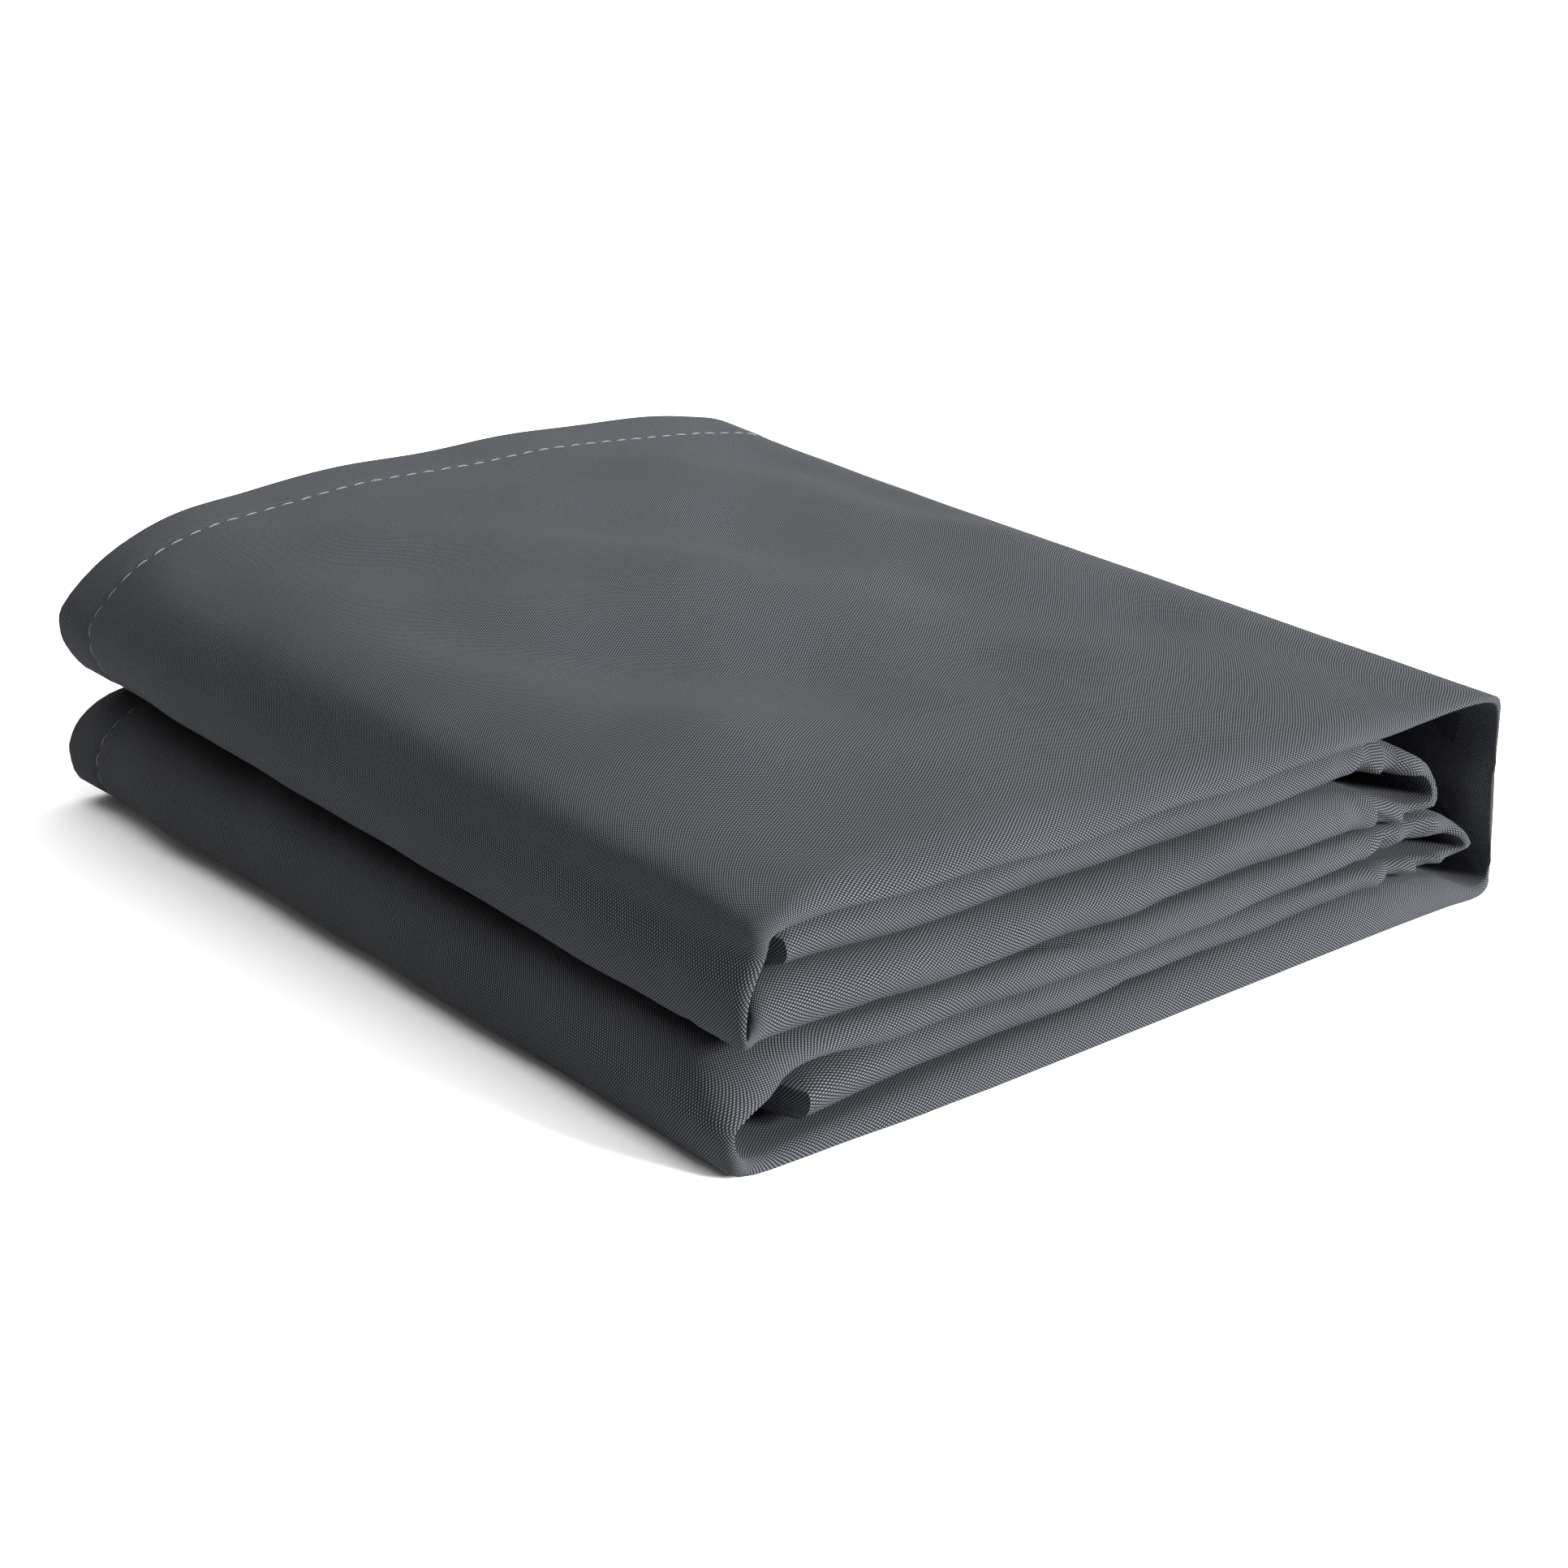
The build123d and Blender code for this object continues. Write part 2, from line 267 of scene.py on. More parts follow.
# %% Creases and the spine's dent
# For each half: the face, outer 1 or inner -1, the row where a crease starts, its slant in mm
# along the strip per mm from the fold, how far it reaches, how deep it is and how wide, in mm.
CREASES = {
    "upper": [(1, "inner roll, top", 0.8, 45, 1.6, 2.2),
              (1, "inner roll, upper nose", 0.9, 30, 1.2, 2.2),
              (1, "inner roll, lower nose", -1.0, 40, 1.5, 2.2),
              (1, "top, left", 0.9, 60, 0.5, 5.0),
              (1, "return run, left", -2.4, 30, 1.5, 3.0),
              (1, "return run, middle", 2.8, 34, 1.3, 3.4),
              (1, "tucked run, middle", 2.6, 30, 1.0, 3.0),
              (-1, "spine, at the dent", 0.6, 60, 1.6, 4.0)],
    "lower": [(1, "inner roll, upper nose", -0.9, 45, 1.5, 2.2),
              (1, "inner roll, lower nose", 0.9, 40, 1.4, 2.2),
              (1, "inner roll, underside", 0.7, 50, 1.0, 2.2),
              (1, "return run, middle", -2.6, 32, 1.3, 3.2),
              (1, "tucked run, middle", -2.2, 30, 1.1, 3.0),
              (-1, "spine, above the corner", -0.7, 60, 1.8, 4.0)],
}
SPINE_DENT = 2.0        # the spine is pressed in by this much near the fold, in millimetres


def crease(roll, y, where, slope, reach, depth, width):
    """A sharp valley that starts at the fold, at a named row, and runs off on a slant."""
    line = roll.arc - roll.arc[roll.at(where)] - slope * y
    return -depth * np.exp(-np.abs(line) / width) * (1 - smooth(y, reach * 0.4, reach))


def creases(half, roll, y, side):
    """All the creases of one half on one face."""
    return [float(side == face) * crease(roll, y, *rest) for face, *rest in CREASES[half]]


def spine_dent(roll, y):
    """How far the spine is pressed in towards the packet, in millimetres."""
    deep = SPINE_DENT * smooth(y, 0, 7) * (1 - 0.8 * smooth(y, 40, 160))
    return deep * (1 - smooth(roll.arc, 5, 22))


print(sum(len(rows) for rows in CREASES.values()), "creases, spine dent", SPINE_DENT, "mm")

# %% Relief of each half
SLACK = [(70, 0.10), (32, 0.05)]                    # the plies are never quite flat
TOP_WAVES = [(170, 1.7), (95, 1.7), (48, 0.6)]      # the top run is loose, so it swells
NOSE_WAVES = [(60, 0.5), (28, 0.16)]                # the rolled edges are a little lumpy
MEETING = (0, 12)       # relief grows over this stretch, from mid spine, so that the halves fit


def rounding(roll, y, first, last, seed, drop):
    """Lumps on a rolled edge, which is also drawn in by a drop towards the fold."""
    return spread(roll, first, last, 1.0) * (waves(roll.arc, y, seed, NOSE_WAVES)
                                             + drop * smooth(y, 0, 18) - drop)


def upper_relief(roll, y, side):
    """How far the cloth stands off its outline, in millimetres, outwards."""
    height = waves(roll.arc, y, 3, SLACK)
    if side > 0:
        x = roll.lines(hem_share(y)[:, None])[:, 0]
        top = spread(roll, "top, near the spine", "top, left", 1.2)
        far = smooth(y, 20, 90) * (1 - 0.6 * smooth(y, 235, 285))
        height += top * far * waves(x, y, 8, TOP_WAVES)
        height += rounding(roll, y, "roll, upper", "roll, foot", 12, 1.4)
    for valley in creases("upper", roll, y, side):
        height += valley
    return height * smooth(roll.arc, *MEETING) + seam_pull(roll, y)


def lower_relief(roll, y, side):
    """The same for the lower half, whose lowest run is pressed flat by its own weight."""
    height = waves(roll.arc, y, 5, SLACK)
    floor = 0.0
    if side > 0:
        floor = spread(roll, "floor, past the corner", "roll, underside", 0.3)
        height += rounding(roll, y, "roll, nose below", "roll, top", 14, 1.2)
    for valley in creases("lower", roll, y, side):
        height += valley
    return (height * smooth(roll.arc, *MEETING) + seam_pull(roll, y)) * (1 - floor)


upper.relief, lower.relief = upper_relief, lower_relief
halves = {"upper": upper, "lower": lower}
for half, roll in halves.items():
    stands = roll.relief(roll, np.full(len(roll.where), WIDTH / 2), 1)
    print(half, "relief half way in:", stands.min().round(2), "to", stands.max().round(2), "mm")

# %% Points on a face
def on_face(roll, y, side, fill=1.0, depth=0.0):
    """Points all along the strip at y: on its outer face (side 1) or its inner face (side -1).

    fill is the share of the strip's thickness, and depth is how far under that face, in mm.
    """
    lines = roll.lines(hem_share(y)[:, None])
    out, into = lines[:, :2], lines[:, 2:]
    across = out - into
    thick = np.linalg.norm(across, axis=1)[:, None]
    lift = thick / 2 * fill - depth + roll.relief(roll, y, side)[:, None] * min(fill, 1)
    place = (out + into) / 2 + across / thick * side * lift
    place[:, 0] -= spine_dent(roll, y)
    return np.column_stack([place[:, 0], y, place[:, 1]])


highest = on_face(upper, np.full(len(upper.where), WIDTH), 1)[:, 2].max()
print("highest point of the upper half at the hem", round(float(highest), 1), "mm")


# %% Points of a sleeve
FACE_STEP = 3.6         # between points along a face, from fold to hem
NOSE_POINTS = 8         # in each quarter of the rounded fold
CAP_POINTS = 5          # in the closed end that is tucked into the roll
CAP_DEPTH = 4.0         # how far that end bulges
COLUMN_CROWDING = 1.12  # above 1, the columns stand closer near the fold
CAP_ROUNDING = 0.7      # below 1, the end is blunter than a half circle
SEAM_COLUMNS = (-4, -2.4, -1.2, 0, 1.2, 2.4, 4, 6)      # distances from the seam, in millimetres
NOSE_ALLOWANCE = 4.0    # about where the flat of a face starts


def face_columns(hem_y):
    """Shares of the way from fold to hem, with extra columns beside the seam."""
    steps = int(hem_y / FACE_STEP)
    even = (np.arange(1, steps + 1) / steps) ** COLUMN_CROWDING
    near = [(STITCH_Y + k - NOSE_ALLOWANCE) / (hem_y - NOSE_ALLOWANCE) for k in SEAM_COLUMNS]
    return sorted([c for c in even if not near[0] - 0.004 < c < near[-1] + 0.004] + near)


def sleeve(roll, fill=1.0, fold_y=0.0, hem_y=FRONT_HEM_Y, nose=(2.6, 2.6), nose_at=0.5):
    """Grid of points of a sleeve that fills a share of the strip's thickness.

    nose is how deep the rounded fold is on the outer and the inner side, and nose_at is how
    high it stands between the faces. Each may differ along the strip.
    """
    count = len(roll.where)
    at, fold_y = np.broadcast_to(nose_at, count)[:, None], np.broadcast_to(fold_y, count)
    face = face_columns(hem_y)
    quarter = np.linspace(0, math.pi / 2, NOSE_POINTS + 1)
    columns, middles = [], []
    for side, deep in zip((1, -1), nose):
        deep = np.broadcast_to(deep, count)
        rows = [(fold_y + deep * (1 - math.cos(a)), math.sin(a)) for a in quarter]
        rows += [(fold_y + deep + (hem_y - fold_y - deep) * f, 1.0) for f in face]
        rows = rows[::-1] if side > 0 else rows[1:]
        for y, open_share in rows:
            out, into = on_face(roll, y, 1, fill), on_face(roll, y, -1, fill)
            tip = into + (out - into) * at
            target = out if side > 0 else into
            columns.append(tip + (target - tip) * open_share)
            middles.append((out + into) / 2)
    grid, middle = np.stack(columns, axis=1), np.stack(middles, axis=1)
    onwards = middle[-1] - middle[-2]
    onwards /= np.linalg.norm(onwards, axis=1)[:, None]
    caps = []
    for turn in np.linspace(0, math.pi / 2, CAP_POINTS + 1)[1:]:
        shrink = math.cos(turn) ** CAP_ROUNDING
        caps.append((middle[-1] + (grid[-1] - middle[-1]) * shrink
                     + onwards * CAP_DEPTH * fill * math.sin(turn))[None])
    return np.concatenate([grid, *caps])


print(len(face_columns(FRONT_HEM_Y)), "columns from fold to hem on each face")


# %% A mesh from a grid of points
WELD = 0.004            # points closer than this, in millimetres, are one point
SHARP_FOLD = 60         # degrees; a sharper edge than this is shaded as a crisp fold


def cloth_uv(grid, tip, free_from=None):
    """Distance along the strip and distance from the fold, in millimetres, for each point.

    All columns share one distance along the strip, so that the weave stays square. Past the
    row free_from each column is measured for itself, because the cloth is folded on the slant.
    """
    steps = np.linalg.norm(np.diff(grid, axis=0), axis=2)
    shared = np.linalg.norm(np.diff((grid[:, 0] + grid[:, -1]) / 2, axis=0), axis=1)
    along = np.broadcast_to(shared[:, None], steps.shape).copy()
    if free_from is not None:
        along[free_from:] = steps[free_from:]
    along = np.concatenate([np.zeros((1, grid.shape[1])), np.cumsum(along, axis=0)])
    across = np.linalg.norm(np.diff(grid, axis=1), axis=2)
    across = np.concatenate([np.zeros((len(grid), 1)), np.cumsum(across, axis=1)], axis=1)
    across -= across[:, tip:tip + 1]
    return np.stack([along, across], axis=2)


def mesh_of(name, patches, material, thickness, half):
    """One object from several grids of points, given a thickness inwards."""
    mesh = bpy.data.meshes.new(name)
    corners, faces, uvs = [], [], []
    for grid, uv in patches:
        rows, columns = grid.shape[:2]
        start = sum(len(c) for c in corners)
        number = start + np.arange(rows * columns).reshape(rows, columns)
        quads = np.stack([number[:-1, :-1], number[:-1, 1:], number[1:, 1:], number[1:, :-1]], -1)
        if half == "upper":             # this strip winds the other way, so its faces turn too
            quads = quads[..., ::-1]
        corners.append(grid.reshape(-1, 3))
        uvs.append(uv.reshape(-1, 2))
        faces.append(quads.reshape(-1, 4))
    corners, uvs, faces = np.concatenate(corners), np.concatenate(uvs), np.concatenate(faces)
    mesh.from_pydata((corners + ROW_PLACE) * MM, [], faces.tolist())
    layer = mesh.uv_layers.new(name="cloth")
    layer.data.foreach_set("uv", (uvs[faces.reshape(-1)]).astype(np.float32).ravel())
    mesh.materials.append(material)
    piece = bpy.data.objects.new(name, mesh)
    bpy.context.scene.collection.objects.link(piece)
    work = bmesh.new()
    work.from_mesh(mesh)
    bmesh.ops.remove_doubles(work, verts=work.verts, dist=WELD * MM)
    work.to_mesh(mesh)
    work.free()
    mesh.shade_smooth()
    if thickness:
        wall = piece.modifiers.new("thickness", "SOLIDIFY")
        wall.thickness, wall.offset = thickness * MM, -1
        bpy.ops.object.select_all(action="DESELECT")
        piece.select_set(True)
        bpy.context.view_layer.objects.active = piece
        bpy.ops.object.modifier_apply(modifier=wall.name)
        piece.data.set_sharp_from_angle(angle=math.radians(SHARP_FOLD))
    print(name, len(piece.data.polygons), "faces")
    return piece

# %% [markdown]
# ## The cloth's finish
# The cloth is a polyester oxford: a plain weave of flat multi-filament yarns, dyed charcoal and
# coated on the back. Light catches the crown of each yarn and shade falls between the yarns, and
# both are painted into the colour: a painted highlight on each crown and painted shade in the
# valleys, so the weave reads as fine pale dots on a matt cloth that hardly shines. The pattern is
# drawn on each piece's own UV map, which is in millimetres of cloth, so it follows every fold.

# %% Colours and nodes
def colour(hex_code, alpha=1.0):
    """An sRGB hex colour as linear values."""
    parts = [int(hex_code[k:k + 2], 16) / 255 for k in (1, 3, 5)]
    return [p / 12.92 if p <= 0.04045 else ((p + 0.055) / 1.055) ** 2.4 for p in parts] + [alpha]


def node(tree, kind, settings=None, inputs=None, links=None):
    """Adds a node: settings are its properties, inputs its socket values, links its sources."""
    made = tree.nodes.new(kind)
    for key, value in (settings or {}).items():
        setattr(made, key, value)
    for key, value in (inputs or {}).items():
        made.inputs[key].default_value = value
    for key, source in (links or {}).items():
        tree.links.new(source, made.inputs[key])
    return made


print("charcoal in linear values", [round(part, 3) for part in colour("#595c60")[:3]])


# %% Woven polyester
WARP_PITCH = 0.48       # millimetres between yarns; a 600 denier yarn is about this wide
WEFT_PITCH = 0.40       # the weft is beaten up a little closer


def woven(name, valley, crown_highlight, tint_light, tint_dark, roughness):
    """Plain-weave polyester. Each yarn goes over and under its neighbours."""
    material = bpy.data.materials.new(name)
    material.use_nodes = True
    tree = material.node_tree
    tree.nodes.clear()
    place = node(tree, "ShaderNodeUVMap", {"uv_map": "cloth"}).outputs[0]
    # the yarns are never quite straight
    drift = node(tree, "ShaderNodeTexNoise", inputs={"Scale": 0.08, "Detail": 2.0},
                 links={"Vector": place})
    drift = node(tree, "ShaderNodeVectorMath", {"operation": "SUBTRACT"}, {1: (0.5, 0.5, 0.5)},
                 {0: drift.outputs["Color"]}).outputs[0]
    place = node(tree, "ShaderNodeVectorMath", {"operation": "MULTIPLY_ADD"}, {1: (0.8, 0.8, 0)},
                 {0: drift, 2: place}).outputs[0]
    split = node(tree, "ShaderNodeSeparateXYZ", links={0: place}).outputs

    def wave(source, pitch):
        """1 on the middle of each yarn and -1 between, at twice the pitch for over and under."""
        turn = node(tree, "ShaderNodeMath", {"operation": "MULTIPLY"}, {1: math.pi / pitch},
                    {0: source})
        return node(tree, "ShaderNodeMath", {"operation": "SINE"},
                    links={0: turn.outputs[0]}).outputs[0]

    warp, weft = wave(split[0], WARP_PITCH), wave(split[1], WEFT_PITCH)
    over = node(tree, "ShaderNodeMath", {"operation": "MULTIPLY"},
                links={0: warp, 1: weft}).outputs[0]
    crown_highlight_and_gloss = node(tree, "ShaderNodeMapRange", {"interpolation_type": "SMOOTHSTEP"},
                  {"From Min": -0.15, "From Max": 0.95}, {"Value": over}).outputs[0]
    # a yarn takes the dye a little unevenly along its length, and the cloth as a whole does too
    slub = node(tree, "ShaderNodeTexNoise", inputs={"Scale": 1.1, "Detail": 2.0},
                links={"Vector": place})
    cloud = node(tree, "ShaderNodeTexNoise", inputs={"Scale": 0.018, "Detail": 3.0},
                 links={"Vector": place})
    # painted highlight and painted shade: the colour goes from near black in the valleys between
    # the yarns, where shade falls, to pale on the crowns, where light catches them
    mixed = node(tree, "ShaderNodeMix", {"data_type": "RGBA"},
                 {"A": colour(valley), "B": colour(crown_highlight)}, {"Factor": crown_highlight_and_gloss})
    tint = node(tree, "ShaderNodeMix", {"data_type": "RGBA"},
                {"A": colour(tint_dark), "B": colour(tint_light)}, {"Factor": cloud.outputs[0]})
    mixed = node(tree, "ShaderNodeMix", {"data_type": "RGBA", "blend_type": "MULTIPLY"},
                 {"Factor": 1.0}, {"A": mixed.outputs["Result"], "B": tint.outputs["Result"]})
    grain = node(tree, "ShaderNodeMapRange", inputs={"To Min": 0.86, "To Max": 1.14},
                 links={"Value": slub.outputs[0]})
    mixed = node(tree, "ShaderNodeVectorMath", {"operation": "SCALE"},
                 links={0: mixed.outputs["Result"], "Scale": grain.outputs[0]})
    rough = node(tree, "ShaderNodeMapRange",
                 inputs={"To Min": roughness + 0.12, "To Max": roughness}, links={"Value": crown_highlight_and_gloss})
    # the crowns stand about 0.05 mm above the valleys
    fine = node(tree, "ShaderNodeBump", inputs={"Strength": 0.35, "Distance": 0.05 * MM},
                links={"Height": over})
    shader = node(tree, "ShaderNodeBsdfPrincipled",
                  inputs={"IOR": 1.5, "Sheen Weight": 0.01, "Sheen Roughness": 0.4,
                          "Specular IOR Level": 0.07},
                  links={"Base Color": mixed.outputs[0], "Roughness": rough.outputs[0],
                         "Normal": fine.outputs[0]})
    node(tree, "ShaderNodeOutputMaterial", links={"Surface": shader.outputs[0]})
    return material


# the outer face of the cloth
OXFORD = woven("charcoal_woven_polyester", "#141517", "#595c60", "#ffffff", "#e6e6e8", 0.82)
# the same cloth where it is doubled at the hem, a touch darker: painted shade, as the doubled hem
# lies at another angle to the light
HEM_OXFORD_PAINTED_SHADE = woven("charcoal_woven_polyester_hem_painted_shade", "#131416", "#575a5e",
                   "#ffffff", "#e6e6e8", 0.82)
# the same cloth deeper inside, where its coated back shows: darker and a little smoother
INNER_OXFORD = woven("charcoal_woven_polyester_coated", "#1a1c1e", "#383a3e",
                     "#ffffff", "#e4e4e6", 0.78)
print("yarns per 10 mm:", round(10 / WARP_PITCH, 1), "warp,", round(10 / WEFT_PITCH, 1), "weft")

# %% Sewing thread
TWIST_PITCH = 0.9       # millimetres in which the twist repeats, on a strong thread


def spun_thread():
    """Polyester sewing thread: two plies twisted together, close to the cloth in colour."""
    material = bpy.data.materials.new("grey_polyester_thread")
    material.use_nodes = True
    tree = material.node_tree
    tree.nodes.clear()
    place = node(tree, "ShaderNodeUVMap", {"uv_map": "cloth"}).outputs[0]
    twist = node(tree, "ShaderNodeTexWave", {"bands_direction": "DIAGONAL"},
                 {"Scale": 0.5 / TWIST_PITCH, "Distortion": 0.3}, {"Vector": place})
    # the thread's own colour, with painted highlight on the ridges of the twist and painted shade
    # in the grooves between its plies
    dye_and_twist_shading = node(tree, "ShaderNodeMix", {"data_type": "RGBA"},
                {"A": colour("#3f4145"), "B": colour("#5b5d61")}, {"Factor": twist.outputs["Fac"]})
    bump = node(tree, "ShaderNodeBump", inputs={"Strength": 0.5, "Distance": 0.08 * MM},
                links={"Height": twist.outputs["Fac"]})
    shader = node(tree, "ShaderNodeBsdfPrincipled",
                  inputs={"Roughness": 0.5, "IOR": 1.5, "Specular IOR Level": 0.2},
                  links={"Base Color": dye_and_twist_shading.outputs["Result"], "Normal": bump.outputs[0]})
    node(tree, "ShaderNodeOutputMaterial", links={"Surface": shader.outputs[0]})
    return material


THREAD = spun_thread()
print("thread nodes", len(THREAD.node_tree.nodes))

# %% [markdown]
# ## The outer sheets
# The front panel is the outermost ply of both halves, so it is the one that is seen. Its fold is
# rounder where the run is thick, and on the top run the cloth rolls over in a long shoulder.

# %% How the fold stands from run to run
FOLD_WAVES = [(160, 0.7), (70, 0.5), (31, 0.2)]     # along the strip, in and out
SLANT = 2.7             # the tucked end was folded on the slant, by this much per millimetre
FURTHEST_OUT = -1.8     # no fold stands further out than this, in millimetres
LEAST_NOSE, MOST_NOSE = 0.45, 9.0


def set_back(roll, runs):
    """How far each run of the fold stands back from the front of the packet, in millimetres."""
    back = 0.3 + waves(roll.arc, roll.arc * 0, 21, FOLD_WAVES)
    for first, last, depth in runs:
        back = back + depth * spread(roll, first, last, 1.5)
    x = roll.lines(0.0)[:, 0]
    row = roll.at("tucked fold")
    slant = np.where(np.arange(len(x)) > row, SLANT * (x[row] - x), 0)
    folds = zigzag(roll.arc / 14.0 + np.sin(roll.arc / 9.0) / 4)
    crumple = crumpled_end(roll) * (1.2 + 1.7 * folds)
    return np.maximum(back + crumple, FURTHEST_OUT) + slant


def zigzag(value):
    """A triangle wave between -1 and 1, for sharp folds."""
    return 2 * np.abs(2 * (value - np.floor(value + 0.5))) - 1


def crumpled_end(roll):
    """1 on the strip's inner roll, where the tight turn crumples the cloth."""
    ends = ("inner roll, top", "inner roll, underside")
    if roll is upper:
        ends = ends[::-1]
    return spread(roll, *ends, 0.8)


def nose_depth(roll):
    """A thick run has a round fold, and a single tight turn has a crisp one."""
    return np.clip(0.9 * (roll.thickness(0.0) - 2), LEAST_NOSE, MOST_NOSE)


for half, roll in halves.items():
    deep = nose_depth(roll)
    print(half, "noses", deep.min().round(2), "to", deep.max().round(2), "mm deep")


# %% Outer sheets
UNEVEN_FOLD = [(130, 0.14), (52, 0.10)]     # how the fold's height wanders, in shares of the run
CRUMPLE = 0.28          # how far the fold zigzags at the inner roll, in shares of the run
on_top = spread(upper, "top, near the spine", "top, left", 1.5)
on_floor = spread(lower, "floor, past the corner", "floor, at the roll", 1.0)
upper_lobe = spread(upper, "roll, upper", "roll, foot", 0.8)
lower_lobe = spread(lower, "roll, nose below", "roll, top", 0.8)
upper_deep, lower_deep = nose_depth(upper), nose_depth(lower)


def front_sheet(half, roll, nose, nose_at, runs):
    """The front panel over one half, with a fold that is a little uneven from run to run."""
    uneven = waves(roll.arc, 0 * roll.arc, 31, UNEVEN_FOLD)
    if half == "lower":
        uneven *= 1 - on_floor          # the floor keeps the lowest run level
    nose_at = nose_at + uneven
    grid = sleeve(roll, fold_y=set_back(roll, runs), nose=nose, nose_at=nose_at)
    tip = len(face_columns(FRONT_HEM_Y)) + NOSE_POINTS
    uv = cloth_uv(grid, tip, roll.at("tucked fold"))
    return mesh_of(f"front_cloth_{half}", [(grid, uv)], OXFORD, CLOTH, half)


# each call gives how deep the fold is on both faces, how high it stands between them, and which
# runs of it stand back from the front of the packet, or out of it where the number is below 0
upper_cloth = front_sheet(
    "upper", upper,
    (upper_deep + 7.0 * on_top + 2.5 * upper_lobe, upper_deep * (1 - 0.6 * upper_lobe)),
    0.5 - 0.2 * on_top - 0.3 * upper_lobe
    + CRUMPLE * crumpled_end(upper) * zigzag(upper.arc / 17.0),
    [("inner roll, top", "tucked end", 3.2), ("return run, left", "return run, right", 0.4)])
lower_cloth = front_sheet(
    "lower", lower,
    (lower_deep * (1 - 0.6 * on_floor) + 4.0 * lower_lobe,
     lower_deep * (1 - 0.8 * lower_lobe) + 2.0 * on_floor),
    0.5 + 0.32 * on_floor - 0.36 * lower_lobe
    + CRUMPLE * crumpled_end(lower) * zigzag(lower.arc / 15.0 + 0.4),
    [("inner roll, underside", "tucked end", 1.4), ("floor, past the corner", "floor, left", -2.2)])

# %% Turned hems
HEM_RADIUS = 0.75       # of the cloth's turn at the very edge


def turned_hem(name, half, roll, hem_y, fill, material, thickness):
    """The edge of a panel, turned over and laid back inside it, on both faces of the strip."""
    path = []
    for turn in np.linspace(0, math.pi, 7):
        path.append((hem_y + HEM_RADIUS * math.sin(turn), HEM_RADIUS * (1 - math.cos(turn))))
    for back in np.linspace(0, 1, 6)[1:]:
        path.append((hem_y - HEM_WIDTH * back, 2 * HEM_RADIUS - 0.2 * back))
    patches = []
    for side in (1, -1):
        columns = [on_face(roll, np.full(len(roll.where), y), side, fill, d) for y, d in path]
        grid = np.stack(columns[::-side], axis=1)
        patches.append((grid, cloth_uv(grid, 0) + np.array([0, WIDTH])))
    return mesh_of(name, patches, material, thickness, half)


front_cloth = {"upper": upper_cloth, "lower": lower_cloth}
front_hem = {half: turned_hem(f"front_hem_cloth_{half}", half, roll, FRONT_HEM_Y, 1.0,
                              HEM_OXFORD_PAINTED_SHADE, CLOTH)
             for half, roll in halves.items()}

# %% [markdown]
# ## The plies inside
# Behind the front panel lie the back panel, the top panel and, in the tucked run, a side panel.
# They show only at the open hem, as a stack of cloth edges. Each is a sleeve again, which fills
# a smaller share of the strip. That keeps the plies in order, but it doesn't keep them apart:
# where the strip is thinner than all its cloth, as on the spine near the fold, they do overlap.

# %% Inner sheets
INNER_CLOTH = 0.4       # the inner plies are pressed flat
INNER_FOLD_Y = 12.0     # they stop short of the outer fold
INNER_NOSE = (1.0, 1.0)
BACK_HEM_Y = WIDTH + 0.9                    # the back ply shows just past the front one
TOP_HEM_Y, SIDE_HEM_Y = WIDTH - 7.0, WIDTH - 3.0
BACK_FILL, SIDE_FILL, TOP_FILL = 0.64, 0.44, 0.24       # shares of the strip's thickness
plies = {}
for half, roll in halves.items():
    made = []
    for name, fill, hem_y in (("back", BACK_FILL, BACK_HEM_Y), ("top", TOP_FILL, TOP_HEM_Y)):
        grid = sleeve(roll, fill, INNER_FOLD_Y, hem_y, INNER_NOSE)
        tip = len(face_columns(hem_y)) + NOSE_POINTS
        made.append(mesh_of(f"{name}_cloth_{half}", [(grid, cloth_uv(grid, tip))], INNER_OXFORD,
                            INNER_CLOTH, half))
    made.append(turned_hem(f"back_hem_cloth_{half}", half, roll, BACK_HEM_Y, BACK_FILL,
                           HEM_OXFORD_PAINTED_SHADE, INNER_CLOTH))
    grid = sleeve(roll, SIDE_FILL, INNER_FOLD_Y, SIDE_HEM_Y, INNER_NOSE)
    grid = grid[roll.at("tucked run, right"):]
    side_name = {"upper": "right", "lower": "left"}[half]
    tip = len(face_columns(SIDE_HEM_Y)) + NOSE_POINTS
    made.append(mesh_of(f"{side_name}_side_cloth", [(grid, cloth_uv(grid, tip))], INNER_OXFORD,
                        INNER_CLOTH, half))
    plies[half] = made

# %% [markdown]
# ## The seam
# A lockstitch holds the hem. Each stitch is a short length of thread that comes up through the
# cloth, lies on it and goes down again. It is a small closed tube, laid along the face of the
# sheet, so the row of stitches follows the cloth round every roll.

# %% Stitches
STITCH_PITCH = 6.0      # long stitches, as on heavy covers
STITCH_LENGTH = 4.6     # the rest of the pitch is under the cloth
THREAD_WIDTH = 0.55     # strong thread, as it lies flattened on the cloth
TUBE_SIDES, TUBE_RINGS = 6, 5


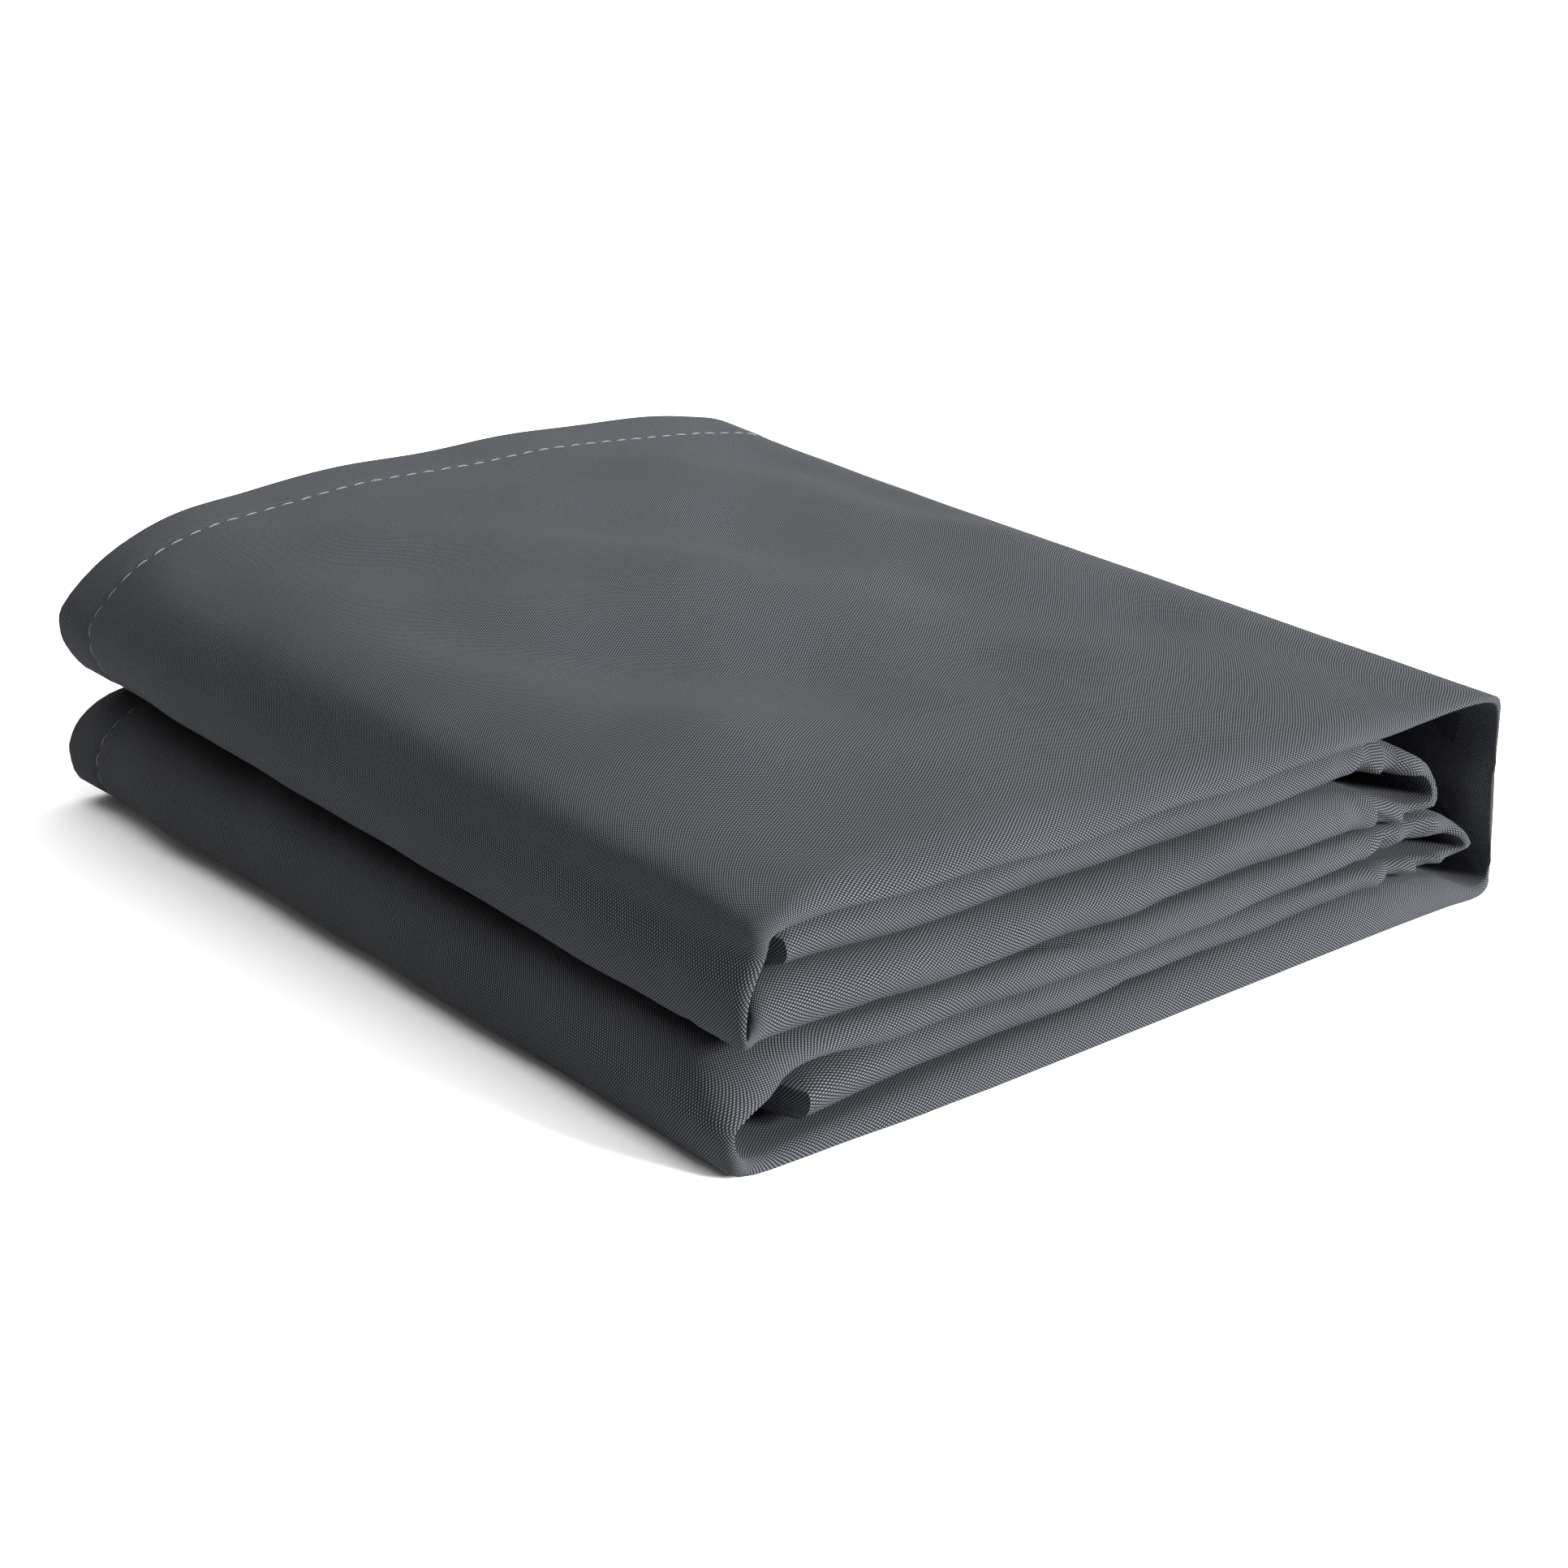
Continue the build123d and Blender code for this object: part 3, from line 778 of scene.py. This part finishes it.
def stitch_row(roll, side, y):
    """Rings of points for every stitch along one face of the strip."""
    line = on_face(roll, np.full(len(roll.where), y), side)
    beside = on_face(roll, np.full(len(roll.where), y + 0.5), side)
    under = on_face(roll, np.full(len(roll.where), y), side, depth=1.0)
    arc = np.concatenate([[0], np.cumsum(np.linalg.norm(np.diff(line, axis=0), axis=1))])
    starts = np.arange(1.0, arc[-1] - STITCH_LENGTH, STITCH_PITCH)
    share = np.linspace(0, 1, TUBE_RINGS)
    where = starts[:, None] + STITCH_LENGTH * share

    def along(values):
        return np.stack([np.interp(where, arc, values[:, k]) for k in range(3)], axis=2)

    centre, out = along(line), along(line - under)
    cross = along(beside - line)
    cross /= np.linalg.norm(cross, axis=2)[..., None]
    rise = (np.sin(math.pi * share) ** 0.6 * 0.30 - 0.14)[None, :, None]
    turns = np.linspace(0, 2 * math.pi, TUBE_SIDES, endpoint=False)
    half_width = (THREAD_WIDTH / 2 * np.sin(math.pi * (0.12 + 0.76 * share)) ** 0.5)[None, :, None]
    lean = 0.12 * np.sin(starts * 1.7)[:, None, None] * (share - 0.5)[None, :, None] * STITCH_LENGTH
    centre = centre + out * rise + cross * lean
    rings = [centre + half_width * (cross * math.cos(a) + out * 0.75 * math.sin(a)) for a in turns]
    return np.stack(rings, axis=2)


def stitches(half, roll):
    """All the stitches of one half, as one piece of small closed tubes."""
    vertices, faces, uvs = [], [], []
    for side in (1, -1):
        for rings in stitch_row(roll, side, STITCH_Y):
            start = len(vertices)
            vertices += rings.reshape(-1, 3).tolist()
            for ring in range(TUBE_RINGS - 1):
                for k in range(TUBE_SIDES):
                    a = start + ring * TUBE_SIDES + k
                    b = start + ring * TUBE_SIDES + (k + 1) % TUBE_SIDES
                    faces.append((a, b, b + TUBE_SIDES, a + TUBE_SIDES))
            last = start + (TUBE_RINGS - 1) * TUBE_SIDES
            faces.append(tuple(start + k for k in reversed(range(TUBE_SIDES))))
            faces.append(tuple(last + k for k in range(TUBE_SIDES)))
            uvs += [(STITCH_LENGTH * r / (TUBE_RINGS - 1), k * 0.4)
                    for r in range(TUBE_RINGS) for k in range(TUBE_SIDES)]
    mesh = bpy.data.meshes.new(f"hem_stitches_{half}")
    place = (np.array(vertices) + ROW_PLACE) * MM
    mesh.from_pydata(place.tolist(), [], faces)
    layer = mesh.uv_layers.new(name="cloth")
    corners = np.array([uvs[v.vertex_index] for v in mesh.loops], np.float32)
    layer.data.foreach_set("uv", corners.ravel())
    mesh.materials.append(THREAD)
    work = bmesh.new()
    work.from_mesh(mesh)
    bmesh.ops.recalc_face_normals(work, faces=work.faces)
    work.to_mesh(mesh)
    work.free()
    mesh.shade_smooth()
    piece = bpy.data.objects.new(mesh.name, mesh)
    bpy.context.scene.collection.objects.link(piece)
    print(piece.name, len(mesh.polygons), "faces")
    return piece


seam = {half: stitches(half, roll) for half, roll in halves.items()}

# %% [markdown]
# ## Onto the frame
# Every sheet crosses a hinge, because the strip runs on from each half into the spine, and both
# halves meet in mid spine. Each piece has its placement fixed into its mesh, and the CAD parts
# that it stands for are hidden.

# %% Replace the CAD parts
SIDE_NODE = {"upper": "right_side_panel", "lower": "left_side_panel"}


def onto_frame(piece, half, slot_name, *nodes):
    """Fixes a piece's placement into its mesh, and hides the CAD nodes that it replaces."""
    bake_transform(piece)
    if nodes:
        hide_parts(*nodes)


for half in halves:
    back, top, back_hem, side_cloth = plies[half]
    for piece, name, slot_name in ((front_cloth[half], "front_panel", "outer_cloth"),
                                   (front_hem[half], "front_hem", "hem_cloth"),
                                   (seam[half], "hem_thread", "thread"),
                                   (back, "back_panel", "outer_cloth"),
                                   (back_hem, "back_hem", "hem_cloth"),
                                   (top, "top_panel", "outer_cloth")):
        onto_frame(piece, half, slot_name, f"{name}_{half}", f"{name}_spine")
    onto_frame(side_cloth, half, "outer_cloth", SIDE_NODE[half])
    print(half, "half: 7 pieces placed")

# %% [markdown]
# ## Floor, light and camera
# A white studio floor, a broad soft light from the front right, and little light from the left.

# %% Floor
FLOOR_SIZE = 60.0       # metres, so that its edge is far away
FLOOR_DROP = 0.0002     # metres under the packet, so that the two surfaces never coincide
bpy.ops.object.select_all(action="DESELECT")
bpy.ops.mesh.primitive_plane_add(size=FLOOR_SIZE, location=(0, 0, -FLOOR_DROP))
floor = bpy.context.active_object
floor.name = "studio_floor"
paper = bpy.data.materials.new("white_paper")
paper.use_nodes = True
paper.node_tree.nodes["Principled BSDF"].inputs["Base Color"].default_value = colour("#f4f4f4")
paper.node_tree.nodes["Principled BSDF"].inputs["Roughness"].default_value = 0.9
floor.data.materials.append(paper)
print("floor", round(floor.dimensions.x), "m wide")

# %% Light
def sun(name, towards, strength, spread_degrees):
    """A distant lamp that stands towards a direction; a wide spread gives soft shadows."""
    light = bpy.data.lights.new(name, "SUN")
    light.energy, light.angle = strength, math.radians(spread_degrees)
    lamp = bpy.data.objects.new(name, light)
    lamp.rotation_euler = mathutils.Vector(towards).to_track_quat("Z", "Y").to_euler()
    bpy.context.scene.collection.objects.link(lamp)
    return lamp


sun("key_light", (0.40, -0.86, 0.31), 15.0, 17)         # low, in front of the closed fold
sun("ceiling_light", (0.26, 0.12, 0.95), 3.4, 90)       # broad, from above

world = bpy.data.worlds.new("studio")
world.use_nodes = True
sky = world.node_tree
# the room is brighter above and in front on the right, and dim on the left
backdrop = sky.nodes["Background"]
facing = node(sky, "ShaderNodeTexCoord").outputs["Generated"]
towards = node(sky, "ShaderNodeVectorMath", {"operation": "DOT_PRODUCT"}, {1: (0.40, -0.26, 0.88)},
               {0: facing}).outputs["Value"]
glow = node(sky, "ShaderNodeMapRange", {"interpolation_type": "SMOOTHSTEP"},
            {"From Min": -0.3, "From Max": 1.0, "To Min": 0.09, "To Max": 0.7}, {"Value": towards})
sky.links.new(glow.outputs[0], backdrop.inputs["Strength"])
backdrop.inputs["Color"].default_value = (1, 1, 1, 1)
bpy.context.scene.world = world
bpy.context.scene.view_settings.view_transform = "Standard"

# %% Camera
camera_data = bpy.data.cameras.new("camera")
camera_data.lens = 55.9
camera = bpy.data.objects.new("camera", camera_data)
camera.location = (-0.3955, -0.4916, 0.2345)
aim = mathutils.Vector((-0.0158, -0.0351, 0.030))
camera.rotation_euler = (aim - camera.location).to_track_quat("-Z", "Y").to_euler()
camera_data.clip_end = 100      # metres, past the far edge of the floor
bpy.context.scene.collection.objects.link(camera)
bpy.context.scene.camera = camera
print("lens", camera_data.lens, "mm, distance", round((aim - camera.location).length, 3), "m")

# %% The end
bpy.context.view_layer.update()
